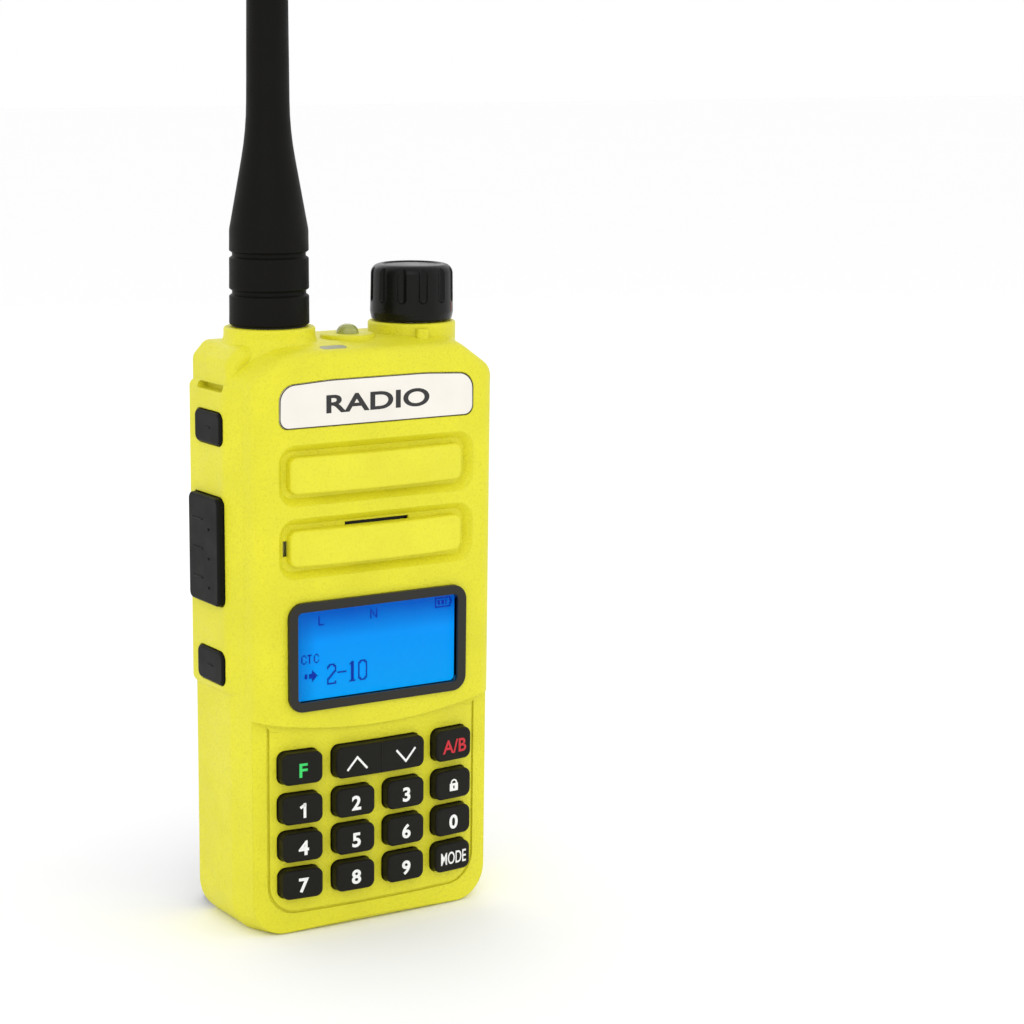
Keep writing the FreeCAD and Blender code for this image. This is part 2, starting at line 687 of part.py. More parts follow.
def volume_control():
    top = dim("knob_top")
    radius = dim("knob_radius")
    seat = dim("knob_seat")
    knob = lathe("knob_turned", (STEM_X, STEM_Y),
                 [(5.4, seat + 0.3), (radius - 0.3, seat + 0.3, 0.4), (radius, seat + 1.8, 1.0),
                  (radius - 0.15, top - 0.5, 1.9), (5.9, top - 0.1, 0.3),
                  (5.5, top - 0.45, 0.2), (0, top), (0, top - 2.6), (dim("shaft_radius"), top - 2.6),
                  (dim("shaft_radius"), seat + 2.6), (5.4, seat + 2.6)])
    flutes = []
    count = 12
    for index in range(count):
        turn = math.radians(15 + index * 360.0 / count)
        reach = radius + 0.35
        x = STEM_X + reach * math.cos(turn)
        y = STEM_Y + reach * math.sin(turn)
        groove = rod("flute_" + str(index), "Z", (x, y), 1.05, (seat + 3.7, top + 1))
        flutes.append(soften("flute_soft_" + str(index), groove, 0.9,
                             lambda edge, level=seat.number + 3.7: edge.BoundBox.ZMax < level + 1e-3))
    keep(cut("knob", knob, flutes), "volume_knob")
    keep(rod("pot_spindle", "Z", (STEM_X, STEM_Y), dim("shaft_radius"), (105, top - 2.6)),
         "volume_shaft")
    can = box("pot_can", (STEM_X - 4.75, STEM_X + 4.75), (STEM_Y - 4.75, STEM_Y + 4.75),
              (102.5, 109.5))
    bushing = rod("pot_bushing", "Z", (STEM_X, STEM_Y), 3.9, (109, 116.7))
    bore = rod("pot_bore", "Z", (STEM_X, STEM_Y), dim("shaft_radius") + 0.06, (104.9, 118))
    keep(cut("pot", fuse("pot_solid", [can, bushing]), [bore]), "volume_control")
    ring = rod("pot_ring", "Z", (STEM_X, STEM_Y), 5.2, (115, 116.5))
    keep(cut("pot_nut", ring, [rod("pot_nut_bore", "Z", (STEM_X, STEM_Y), 3.9, (114, 118))]),
         "control_nut")


# ---------------------------------------------------------------- antenna

def antenna():
    seat = dim("aerial_seat")
    base = dim("aerial_base")
    tip = dim("aerial_tip")
    foot = seat + 0.35
    keep(lathe("sheath", (-STEM_X, STEM_Y),
               [(4.6, foot), (base, foot, 0.4), (base - 0.05, seat + 5.8, 0.3), (base - 0.6, seat + 6.2),
                (base - 0.6, seat + 6.8), (base - 0.05, seat + 7.2, 0.3),
                (base - 0.1, seat + 12.9, 0.3), (base - 0.65, seat + 13.3), (base - 0.65, seat + 13.9),
                (base - 0.1, seat + 14.3, 0.3), (base - 0.15, seat + 18.2, 4),
                (4.12, seat + 36.6, 60), (2.95, tip, 2.6), (0, tip), (0, tip - 6), (1.6, tip - 6),
                (1.6, seat + 7), (4.6, seat + 7)]), "antenna_sheath")
    keep(rod("element", "Z", (-STEM_X, STEM_Y), 1.6, (seat + 7, tip - 6)), "antenna_element")
    stud = dim("stud_radius")
    keep(lathe("socket", (-STEM_X, STEM_Y),
               [(stud + 0.08, foot), (4.6, foot), (4.6, seat + 7), (0, seat + 7), (0, seat + 5.2),
                (stud + 0.08, seat + 5.2)]), "antenna_socket")
    keep(lathe("washer", (-STEM_X, STEM_Y),
               [(stud + 0.15, seat + 0.02), (7.0, seat + 0.02), (7.0, seat + 0.3),
                (stud + 0.15, seat + 0.3)]), "antenna_washer")
    keep(lathe("connector", (-STEM_X, STEM_Y),
               [(0, 104), (2.0, 104), (2.0, 107), (4.8, 107), (4.8, 110.4), (stud, 110.4),
                (stud, seat + 4.6, 0.4), (0, seat + 4.6)]), "antenna_connector")


# ---------------------------------------------------------------- inside

def boards():
    y = dim("board_y")
    sheet_of_board = prism("main_board_sheet", "XZ",
                           [(-24.3, 5, 3), (24.3, 5, 3), (24.3, 106, 2), (-24.3, 106, 2)], (y, y + 1.0))
    holes = [rod("board_hole_" + str(index), "Y", (x, z), 1.0, (y - 1, y + 2))
             for index, (x, z) in enumerate(post_places())]
    drilled = cut("main_board_cut", sheet_of_board, holes)
    # The two screening cans are soldered to the board.
    cans = [box("can_low", (-12, 16), (y + 1.0, y + 4.0), (20, 52)),
            box("can_high", (-14, 10), (y + 1.0, y + 3.4), (60, 90))]
    keep(fuse("main_board_cans", [drilled] + cans), "main_board")


def speaker_and_microphone():
    basket = rod("speaker_basket", "Y", (0, 82), 13.5, (FRONT + 2.6, FRONT + 4.6))
    magnet = rod("speaker_magnet", "Y", (0, 82), 7.5, (FRONT + 4.6, FRONT + 7.2))
    keep(fuse("speaker_solid", [basket, magnet]), "speaker")
    keep(rod("mic_can", "Y", (-19.2, 76.7), 2.2, (FRONT + 2.6, FRONT + 4.8)), "microphone")


def rear_outline(grow):
    """Rear view of the opening of the case, spread outwards by grow."""
    half = dim("inner_half") - 0.3 + grow
    low = 2.7 - grow
    high = 110.7 + grow
    return [(-half, low, 3.3 + grow), (half, low, 3.3 + grow), (half, 107.2 + grow * 0.6, 1.5 + grow),
            (20.3, high, 2 + grow), (-20.3, high, 2 + grow), (-half, 107.2 + grow * 0.6, 1.5 + grow)]


def rear_chassis():
    """The metal frame that closes the case and carries the battery rails."""
    plate = prism("chassis_plate", "XZ", rear_outline(0), (3.2, SEAM + 0.4))
    rim = prism("chassis_rim", "XZ", rear_outline(1.4), (SEAM + 0.4, SEAM + 1.2))
    bosses = [rod("boss_" + str(index), "Y", (x, z), 2.4, (dim("board_y") + 1.0, 3.4))
              for index, (x, z) in enumerate(post_places())]
    rails = []
    for side in (-1, 1):
        for number, (low, high) in enumerate(((14, 30), (62, 78))):
            name = "rail_" + ("left" if side < 0 else "right") + str(number)
            inner = sorted((side * 19.0, side * 20.2))
            outer = sorted((side * 19.0, side * 21.2))
            rails.append(box(name + "_stem", inner, (SEAM + 1.0, 9.4), (low, high)))
            rails.append(box(name + "_lip", outer, (8.6, 9.4), (low, high)))
    solid = fuse("chassis_solid", [plate, rim] + bosses + rails)
    tools = []
    for index, (x, z) in enumerate(post_places()):
        tools.append(rod("chassis_hole_" + str(index), "Y", (x, z), 1.0, (-9, 8)))
        tools.append(rod("chassis_sink_" + str(index), "Y", (x, z), 1.9, (SEAM - 0.2, 9)))
    for index, x in enumerate((-6, 0, 6)):
        tools.append(rod("contact_hole_" + str(index), "Y", (x, 12), 1.0, (0, 9)))
    keep(cut("chassis_cut", solid, tools), "chassis")
    screws = []
    for index, (x, z) in enumerate(post_places()):
        head = rod("screw_head_" + str(index), "Y", (x, z), 1.9, (SEAM - 0.2, SEAM + 0.9))
        shank = rod("screw_shank_" + str(index), "Y", (x, z), 1.0, (FRONT + 4, SEAM - 0.1))
        drive = box("screw_drive_" + str(index), (x - 1.2, x + 1.2), (SEAM + 0.4, SEAM + 2),
                    (z - 0.2, z + 0.2))
        screws.append(cut("screw_" + str(index), fuse("screw_solid_" + str(index), [head, shank]), [drive]))
    pins = [rod("contact_pin_" + str(index), "Y", (x, 12), 1.0, (1.0, SEAM + 1.35))
            for index, x in enumerate((-6, 0, 6))]
    keep(group("contact_pins", pins), "radio_contacts")
    return screws


def case_seal():
    outer = prism("seal_outer", "XZ", rear_outline(1.2), (SEAM, SEAM + 0.4))
    inner = prism("seal_inner", "XZ", rear_outline(0), (SEAM - 1, SEAM + 2))
    keep(cut("seal", outer, [inner]), "case_seal")


def jacks():
    side = dim("grip_half")
    y = dim("jack_y")
    high, low = dim("jack_high"), dim("jack_low")
    face = side - 1.5
    block = prism("jack_body", "YZ", rounded((y, 86.5), 9, 18, 1.2), (face - 13.5, face))
    deep = dim("jack_deep")
    bores = [rod("wide_bore", "X", (y, high), dim("wide_jack"), (face - deep, face + 1)),
             rod("narrow_bore", "X", (y, low), dim("narrow_jack"), (face - deep, face + 1))]
    keep(cut("jack_block_cut", block, bores), "jack_block")
    # The cover's hinged front edge is half round about its own axis, so that it turns in its pocket.
    thick = 1.2
    hinge_y = y - 5.2
    middle_x = side - 0.65
    flap = prism("cover_flap", "YZ", rounded((y + 0.3, 87), 10.8, 19.5, 1.4),
                 (middle_x - thick / 2, middle_x + thick / 2))
    trim = box("cover_keep", (side - 3, side + 3), (hinge_y, y + 8), (70, 110))
    leaf = common("cover_leaf", flap, trim)
    roll = rod("cover_roll", "Z", (middle_x, hinge_y), thick / 2, (78.2, 95.8))
    keep(fuse("cover_solid", [leaf, roll]), "jack_cover")


# ---------------------------------------------------------------- battery

def pack_corners():
    half = dim("pack_half")
    back = dim("back_y")
    front = dim("pack_front")
    curve = dim("pack_round")
    return [(-half, front, 0.6), (half, front, 0.6), (half, back, curve), (-half, back, curve)]


def battery():
    front = dim("pack_front")
    back = dim("back_y")
    top = dim("pack_top")
    blank = prism("pack_blank", "XY", pack_corners(), (0, top))
    view = prism("pack_view", "XZ",
                 [(-dim("pack_half") - 1, 0, 6.5), (dim("pack_half") + 1, 0, 6.5),
                  (dim("pack_half") + 1, top, 0.8), (-dim("pack_half") - 1, top, 0.8)],
                 (front - 1, back + 1))
    outer = common("pack_outer", blank, view)
    tools = [box("cell_room", (-17.6, 17.6), (front - 1, 15.2), (4, 86))]
    for side in (-1, 1):
        label = "left" if side < 0 else "right"
        stem = sorted((side * 18.6, side * 20.6))
        lip = sorted((side * 18.6, side * 21.6))
        tools.append(box("groove_stem_" + label, stem, (front - 1, 9.8), (13.5, top + 1)))
        tools.append(box("groove_lip_" + label, lip, (8.2, 9.8), (13.5, top + 1)))
    tools.append(box("latch_notch", (-4.4, 4.4), (9.6, 12.4), (88, top + 1)))
    for index, x in enumerate((-8, 8)):
        tools.append(rod("charge_seat_" + str(index), "Y", (x, 10), 2.0, (15.9, back + 1)))
    keep(cut("pack_case", outer, tools), "battery_case")
    keep(box("pack_lid", (-17.6, 17.6), (front, front + 0.9), (4, 86)), "battery_lid")
    cells = [prism("cell_" + str(index), "XY", rounded((x, 12.0), 17.0, 6.0, 2.9), (6, 84))
             for index, x in enumerate((-8.7, 8.7))]
    keep(group("cells", cells), "battery_cells")
    pads = [box("pack_pad_" + str(index), (x - 1.5, x + 1.5), (front - 0.1, front), (9, 40))
            for index, x in enumerate((-6, 0, 6))]
    studs = [rod("charge_stud_" + str(index), "Y", (x, 10), 2.0, (15.9, back - 0.1))
             for index, x in enumerate((-8, 8))]
    keep(group("pack_contacts", pads + studs), "battery_contacts")


def rear_cover():
    """The block above the battery, which carries the latch and the belt clip."""
    back = dim("back_y")
    start = SEAM + 1.2
    half = dim("pack_half")
    blank = prism("cover_blank", "XY",
                  [(-half, start, 0.6), (half, start, 0.6), (half, back, dim("pack_round")),
                   (-half, back, dim("pack_round"))], (dim("pack_top") + 0.3, 110.4))
    view = prism("cover_view", "XZ",
                 [(-half - 1, dim("pack_top"), 0.5), (half + 1, dim("pack_top"), 0.5),
                  (half + 1, 100.6, 4), (17.6, 110.4, 4), (-17.6, 110.4, 4), (-half - 1, 100.6, 4)],
                 (start - 1, back + 1))
    outer = common("cover_outer", blank, view)
    thumb_z, rest, roof = dim("thumb_z"), dim("latch_rest"), dim("latch_roof")
    room = box("latch_room", (-6.4, 6.4), (9.3, 14.3), (90, roof))
    window = box("latch_window", (-4.4, 4.4), (14.0, 18), (90, thumb_z + 3.8))
    keep(cut("rear_cover_cut", outer, [room, window]), "rear_cover")
    tongue = box("latch_tongue", (-4.0, 4.0), (10.0, 11.2), (89, rest))
    nose = box("latch_nose", (-4.0, 4.0), (11.0, 12.1), (89, 90))
    slide = box("latch_slide", (-6.0, 6.0), (10.0, 13.6), (94.5, rest))
    thumb = prism("latch_thumb", "XZ", rounded((0, thumb_z), 8.0, 2.9, 0.8), (13.4, back + 0.4))
    keep(fuse("latch", [tongue, nose, slide, thumb]), "battery_latch")
    wire = 0.3
    rings = coil("latch_coil", 1.9, wire, roof - rest - 2 * wire - 0.1, 5)
    put(rings, 0, 11.8, rest + wire + 0.05)
    keep(rings, "latch_spring")


def coil(name, radius, wire, length, turns):
    """An eight sided wire wound along +Z from its own origin."""
    helix = doc.addObject("Part::Helix", name + "_path")
    helix.Pitch = size(length).number / turns
    helix.setExpression("Height", size(length).text)
    helix.Radius = radius
    profile = doc.addObject("Part::RegularPolygon", name + "_wire")
    profile.Polygon = 8
    profile.Circumradius = wire
    profile.Placement = FreeCAD.Placement(Vector(radius, 0, 0), Rotation(Vector(1, 0, 0), 90))
    sweep = doc.addObject("Part::Sweep", name)
    sweep.Sections = [profile]
    sweep.Spine = (helix, ["Edge1"])
    sweep.Solid = True
    sweep.Frenet = True
    return sweep


def belt_clip():
    back = dim("back_y")
    y, z = dim("clip_pin_y"), dim("clip_pin_z")
    plate = prism("clip_plate_base", "XZ", rounded((0, z), 24, 9.4, 2), (back, back + 1.2))
    ears = []
    for side in (-1, 1):
        label = "left" if side < 0 else "right"
        span = sorted((side * 6.5, side * 8.0))
        ears.append(box("ear_" + label, span, (back + 1.0, y), (z - 1.6, z + 1.6)))
        ears.append(rod("ear_round_" + label, "X", (y, z), 1.6, span))
    holes = [rod("bracket_hole_" + str(index), "Y", (x, z), 1.1, (back - 1, back + 3))
             for index, x in enumerate((-10, 10))]
    holes.append(rod("bracket_pin_hole", "X", (y, z), 1.0, (-9, 9)))
    keep(cut("bracket", fuse("bracket_solid", [plate] + ears), holes), "clip_bracket")
    keep(rod("pin", "X", (y, z), 1.0, (-8.0, 8.0)), "clip_pin")
    inner = y + 1.7
    outer = inner + 1.6
    blade = prism("clip_blade", "YZ",
                  [(inner, z + 7.6, 0.6), (inner, 53.5, 2), (17.2, 50.5, 0.9), (17.0, 48.5, 0.6),
                   (19.6, 47.6, 2), (outer, 51.5, 4), (outer, z + 7.6, 0.7)],
                  (-dim("clip_half"), dim("clip_half")))
    view = prism("clip_view", "XZ",
                 [(-7.0, 47, 4), (7.0, 47, 4), (dim("clip_half"), 70, 20), (dim("clip_half"), z + 8, 3),
                  (-dim("clip_half"), z + 8, 3), (-dim("clip_half"), 70, 20)], (15, 26))
    shaped = common("clip_shaped", blade, view)
    barrels = [rod("barrel_left", "X", (y, z), 1.9, (-6.2, -2.6)),
               rod("barrel_right", "X", (y, z), 1.9, (2.6, 6.2))]
    bore = rod("barrel_bore", "X", (y, z), 1.06, (-9, 9))
    keep(cut("clip", fuse("clip_solid", [shaped] + barrels), [bore]), "belt_clip")
    spring = coil("clip_coil", 1.35, 0.22, 4.2, 6)
    spring.Placement = FreeCAD.Placement(Vector(), Rotation(Vector(0, 1, 0), 90))
    put(spring, -2.1, y, z)
    keep(spring, "clip_spring")
    screws = []
    for index, x in enumerate((-10, 10)):
        head = rod("clip_head_" + str(index), "Y", (x, z), 1.8, (back + 1.2, back + 2.2))
        shank = rod("clip_shank_" + str(index), "Y", (x, z), 1.1, (back, back + 1.3))
        slot = box("clip_slot_" + str(index), (x - 1.3, x + 1.3), (back + 1.7, back + 3), (z - 0.2, z + 0.2))
        screws.append(cut("clip_screw_" + str(index),
                          fuse("clip_screw_solid_" + str(index), [head, shank]), [slot]))
    return screws


# ---------------------------------------------------------------- build, test and write

def check_document():
    for thing in doc.Objects:
        if "Invalid" in thing.State or "Error" in thing.State:
            raise RuntimeError("failed object: " + thing.Name + " " + str(thing.State))
    for thing in NODES:
        shape = thing.Shape
        if shape.isNull() or not shape.isValid() or not shape.Solids:
            raise RuntimeError("bad sub-part: " + thing.Label)


front_case()
name_plate()
speaker_bars()
display()
keypad_keys()
keypad_backing()
side_keys()
side_switches()
lights()
volume_control()
antenna()
boards()
speaker_and_microphone()
case_screws = rear_chassis()
case_seal()
jacks()
battery()
rear_cover()
keep(group("all_screws", case_screws + belt_clip()), "screws")
doc.recompute()
check_document()

os.makedirs("parts", exist_ok=True)
for thing in NODES:
    thing.Shape.exportStep("parts/" + thing.Label + ".step")
    print(thing.Label, len(thing.Shape.Solids), round(thing.Shape.Volume, 1))
print(len(NODES), "sub-parts")
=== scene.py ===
import json
import math

import bmesh
import bpy
from mathutils import Euler, Matrix, Vector
from mathutils.bvhtree import BVHTree
from mathutils.geometry import convex_hull_2d


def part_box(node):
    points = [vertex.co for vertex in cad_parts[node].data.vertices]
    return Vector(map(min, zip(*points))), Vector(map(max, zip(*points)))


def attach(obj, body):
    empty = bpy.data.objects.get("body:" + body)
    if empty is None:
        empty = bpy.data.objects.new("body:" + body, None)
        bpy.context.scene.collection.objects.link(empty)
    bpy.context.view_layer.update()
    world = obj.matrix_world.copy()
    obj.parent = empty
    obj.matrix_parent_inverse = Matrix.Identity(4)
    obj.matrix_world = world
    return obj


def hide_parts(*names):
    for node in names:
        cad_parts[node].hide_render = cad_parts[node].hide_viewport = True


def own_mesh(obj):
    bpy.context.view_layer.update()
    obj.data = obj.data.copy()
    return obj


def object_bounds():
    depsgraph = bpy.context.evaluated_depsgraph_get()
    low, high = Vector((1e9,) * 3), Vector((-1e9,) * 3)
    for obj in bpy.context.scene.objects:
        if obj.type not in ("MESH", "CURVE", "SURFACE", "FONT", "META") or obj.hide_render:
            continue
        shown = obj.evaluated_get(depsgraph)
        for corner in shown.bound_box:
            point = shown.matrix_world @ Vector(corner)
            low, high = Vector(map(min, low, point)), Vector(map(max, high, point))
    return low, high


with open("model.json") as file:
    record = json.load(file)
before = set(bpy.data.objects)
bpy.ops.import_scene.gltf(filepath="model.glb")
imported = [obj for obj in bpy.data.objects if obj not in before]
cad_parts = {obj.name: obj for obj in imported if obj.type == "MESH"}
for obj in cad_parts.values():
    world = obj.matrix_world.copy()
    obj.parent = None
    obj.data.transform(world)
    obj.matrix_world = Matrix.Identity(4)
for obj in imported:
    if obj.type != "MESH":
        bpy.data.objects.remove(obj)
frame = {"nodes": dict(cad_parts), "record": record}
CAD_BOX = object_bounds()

# The looks of a handheld two way radio: materials for every moulded and turned piece, the printed
# legends, the lit display, the marks on the side keys, the springs, and the studio round it.
# All lengths are in metres; MM turns millimetres into metres.

MM = 0.001
PICTURE_ELEMENT = 0.28 * MM
LEGEND_PROUD = 0.035 * MM
NODES = frame["nodes"]
SLOT_OF = {row["node"]: row["material_slot"] for row in frame["record"]["subparts"]}
FRONT = Vector((0, -1, 0))
LEFT = Vector((-1, 0, 0))
RIGHT = Vector((1, 0, 0))
BACK = Vector((0, 1, 0))
UP = Vector((0, 0, 1))


# ---------------------------------------------------------------- material building blocks

class Look:
    """A node material while it is put together."""

    def __init__(self, name):
        self.material = bpy.data.materials.new(name)
        self.material.use_nodes = True
        self.tree = self.material.node_tree
        self.shader = self.tree.nodes["Principled BSDF"]
        self.place = self.add("ShaderNodeTexCoord").outputs["Object"]

    def add(self, kind, **settings):
        node = self.tree.nodes.new(kind)
        for key, value in settings.items():
            setattr(node, key, value)
        return node

    def link(self, output, socket):
        self.tree.links.new(output, socket)

    def set(self, **values):
        """Constants of the shader, by socket name with underscores for spaces."""
        for key, value in values.items():
            if isinstance(value, tuple) and len(value) == 3:
                value = value + (1.0,)
            self.shader.inputs[key.replace("_", " ")].default_value = value

    def noise(self, size, detail=3.0, stretch=(1, 1, 1), rough=0.55):
        """Noise between 0 and 1 whose grains are about size metres across."""
        mapping = self.add("ShaderNodeMapping")
        mapping.inputs["Scale"].default_value = stretch
        self.link(self.place, mapping.inputs["Vector"])
        noise = self.add("ShaderNodeTexNoise")
        noise.inputs["Scale"].default_value = 1 / size
        noise.inputs["Detail"].default_value = detail
        noise.inputs["Roughness"].default_value = rough
        self.link(mapping.outputs["Vector"], noise.inputs["Vector"])
        return noise.outputs["Fac"]

    def scaled(self, value, low, high, start=0.0, end=1.0):
        """The value mapped from start..end to low..high."""
        span = self.add("ShaderNodeMapRange")
        self.link(value, span.inputs["Value"])
        span.inputs["From Min"].default_value = start
        span.inputs["From Max"].default_value = end
        span.inputs["To Min"].default_value = low
        span.inputs["To Max"].default_value = high
        return span.outputs["Result"]

    def math(self, operation, first, second):
        node = self.add("ShaderNodeMath", operation=operation)
        for socket, value in zip(node.inputs, (first, second)):
            if isinstance(value, (int, float)):
                socket.default_value = value
            else:
                self.link(value, socket)
        return node.outputs["Value"]

    def mixed(self, share, first, second):
        """A colour between first and second; each is a colour or a colour output."""
        mix = self.add("ShaderNodeMix", data_type="RGBA")
        self.link(share, mix.inputs["Factor"])
        for socket, value in ((mix.inputs[6], first), (mix.inputs[7], second)):
            if isinstance(value, tuple):
                socket.default_value = value + (1.0,)
            else:
                self.link(value, socket)
        return mix.outputs[2]

    def bump(self, height, distance, normal=None):
        bump = self.add("ShaderNodeBump")
        bump.inputs["Strength"].default_value = 1.0
        bump.inputs["Distance"].default_value = distance
        self.link(height, bump.inputs["Height"])
        if normal:
            self.link(normal, bump.inputs["Normal"])
        return bump.outputs["Normal"]

    def edges(self, radius):
        """A softened normal, and a mask that is 1 on sharp edges and 0 on flat places."""
        bevel = self.add("ShaderNodeBevel", samples=4)
        bevel.inputs["Radius"].default_value = radius
        surface = self.add("ShaderNodeNewGeometry")
        dot = self.add("ShaderNodeVectorMath", operation="DOT_PRODUCT")
        self.link(bevel.outputs["Normal"], dot.inputs[0])
        self.link(surface.outputs["Normal"], dot.inputs[1])
        mask = self.scaled(dot.outputs["Value"], 1.0, 0.0, 0.82, 0.985)
        return bevel.outputs["Normal"], mask


def moulded(name, colour, rough, grain=0.35 * MM, depth=0.012 * MM, wear=0.25, worn=None,
            soft=0.16 * MM, specular=0.5, coat=0.0, pits=0.6):
    """Moulded plastic or rubber: spark-eroded grain, cloudy colour, rubbed edges."""
    look = Look(name)
    normal, edge = look.edges(soft)
    cloud = look.noise(14 * MM, 2.0)
    speck = look.noise(grain, 2.0, rough=0.7)
    darker = tuple(0.93 * part for part in colour)
    base = look.mixed(look.scaled(cloud, 0.0, 1.0, 0.35, 0.65), darker, colour)
    pitted = tuple(0.86 * part for part in colour)
    base = look.mixed(look.scaled(speck, pits, 0.0, 0.28, 0.5), base, pitted)
    worn = worn or tuple(min(1.0, 1.12 * part + 0.012) for part in colour)
    rubbed = look.math("MULTIPLY", edge, look.scaled(look.noise(3 * MM, 3.0), 0.2, 1.0, 0.4, 0.62))
    base = look.mixed(look.math("MULTIPLY", rubbed, wear), base, worn)
    look.link(base, look.shader.inputs["Base Color"])
    handled = look.scaled(look.noise(6 * MM, 4.0), rough - 0.05, rough + 0.06, 0.35, 0.65)
    shine = look.math("SUBTRACT", handled, look.math("MULTIPLY", rubbed, 0.12))
    look.link(shine, look.shader.inputs["Roughness"])
    look.link(look.bump(speck, depth, normal), look.shader.inputs["Normal"])
    look.set(Specular_IOR_Level=specular, Coat_Weight=coat, Coat_Roughness=0.12)
    return look.material


def metal(name, colour, rough, brushed=(1, 1, 12), grain=0.25 * MM, tarnish=0.82):
    """Turned, pressed or cast metal with a brushed grain and faint tarnish."""
    look = Look(name)
    normal, edge = look.edges(0.1 * MM)
    cloud = look.noise(4 * MM, 4.0)
    dull = tuple(tarnish * part for part in colour)
    base = look.mixed(look.scaled(cloud, 0.0, 1.0, 0.35, 0.68), colour, dull)
    bright = tuple(min(1.0, part * 1.1 + 0.03) for part in colour)
    look.link(look.mixed(look.math("MULTIPLY", edge, 0.6), base, bright),
              look.shader.inputs["Base Color"])
    brush = look.noise(grain, 3.0, brushed)
    look.link(look.scaled(brush, rough - 0.08, rough + 0.12, 0.3, 0.7), look.shader.inputs["Roughness"])
    look.link(look.bump(brush, 0.004 * MM, normal), look.shader.inputs["Normal"])
    look.set(Metallic=1.0)
    return look.material


def clear(name, colour, rough, haze, through, bending):
    """Clear moulding that light passes through, with fine polishing marks."""
    look = Look(name)
    marks = look.noise(1.2 * MM, 4.0, (1, 1, 6))
    look.link(look.scaled(marks, rough, rough + haze, 0.4, 0.7), look.shader.inputs["Roughness"])
    look.link(look.bump(marks, 0.001 * MM), look.shader.inputs["Normal"])
    tint = tuple(0.97 * part for part in colour)
    look.link(look.mixed(look.noise(5 * MM), colour, tint), look.shader.inputs["Base Color"])
    look.set(Transmission_Weight=through, IOR=bending)
    return look.material


def printed(name, colour, rough=0.45, fade=0.9):
    """Ink or paint of a printed legend, thin in places."""
    look = Look(name)
    blotch = look.noise(0.5 * MM, 3.0)
    thin = tuple(fade * part for part in colour)
    look.link(look.mixed(look.scaled(blotch, 0.0, 1.0, 0.35, 0.6), thin, colour),
              look.shader.inputs["Base Color"])
    look.link(look.scaled(blotch, rough, rough + 0.15), look.shader.inputs["Roughness"])
    look.link(look.bump(blotch, 0.004 * MM), look.shader.inputs["Normal"])
    return look.material


def lit_display(name):
    """The lit blue panel: brightest low and right, shaded under the top and left rim of its
    frame, with a faint grid of picture elements."""
    look = Look(name)
    low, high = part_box("lcd_panel")
    parts = look.add("ShaderNodeSeparateXYZ")
    look.link(look.place, parts.inputs["Vector"])
    across, up = parts.outputs["X"], parts.outputs["Z"]
    wide, tall = high[0] - low[0], high[2] - low[2]
    left_shade = look.scaled(across, 1.0, 0.0, low[0] + 0.03 * wide, low[0] + 0.15 * wide)
    top_shade = look.scaled(up, 0.0, 1.0, high[2] - 0.38 * tall, high[2] - 0.10 * tall)
    blend = look.noise(9 * MM, 1.0)
    pale = look.mixed(look.scaled(up, 0.0, 1.0, low[2], high[2]), (0.0008, 0.37, 0.95),
                      (0.0003, 0.29, 1.0))
    base = look.mixed(look.math("MULTIPLY", top_shade, 0.85), pale, (0.0, 0.035, 0.42))
    base = look.mixed(look.math("MULTIPLY", left_shade, 0.75), base, (0.0003, 0.09, 0.45))
    base = look.mixed(look.scaled(blend, 0.0, 0.12), base, (0.002, 0.42, 1.0))
    lines = []
    for place in (across, up):
        wave = look.math("FRACT", look.math("MULTIPLY", place, 1 / PICTURE_ELEMENT), 0.0)
        lines.append(look.math("LESS_THAN", wave, 0.14))
    grid = look.math("MAXIMUM", lines[0], lines[1])
    base = look.mixed(look.math("MULTIPLY", grid, 0.10), base, (0.0, 0.16, 0.75))
    look.link(base, look.shader.inputs["Emission Color"])
    look.link(look.mixed(grid, (0.001, 0.015, 0.05), (0.001, 0.01, 0.04)),
              look.shader.inputs["Base Color"])
    look.link(look.scaled(look.noise(0.6 * MM), 0.25, 0.4), look.shader.inputs["Roughness"])
    look.set(Emission_Strength=0.95, Specular_IOR_Level=0.05)
    return look.material


def circuit_board(name, mask):
    """Solder mask over copper tracks."""
    look = Look(name)
    tracks = look.add("ShaderNodeTexBrick")
    tracks.inputs["Scale"].default_value = 1 / (6 * MM)
    tracks.inputs["Mortar Size"].default_value = 0.03
    tracks.inputs["Color1"].default_value = mask + (1.0,)
    tracks.inputs["Color2"].default_value = tuple(0.8 * part for part in mask) + (1.0,)
    tracks.inputs["Mortar"].default_value = tuple(1.9 * part for part in mask) + (1.0,)
    turned = look.add("ShaderNodeMapping")
    turned.inputs["Rotation"].default_value = (math.pi / 2, 0, 0)
    look.link(look.place, turned.inputs["Vector"])
    look.link(turned.outputs["Vector"], tracks.inputs["Vector"])
    look.link(tracks.outputs["Color"], look.shader.inputs["Base Color"])
    look.link(look.bump(tracks.outputs["Fac"], 0.02 * MM), look.shader.inputs["Normal"])
    look.link(look.scaled(look.noise(1.5 * MM), 0.22, 0.4), look.shader.inputs["Roughness"])
    return look.material


# ---------------------------------------------------------------- materials of the record's slots

YELLOW = (0.79, 0.748, 0.024)

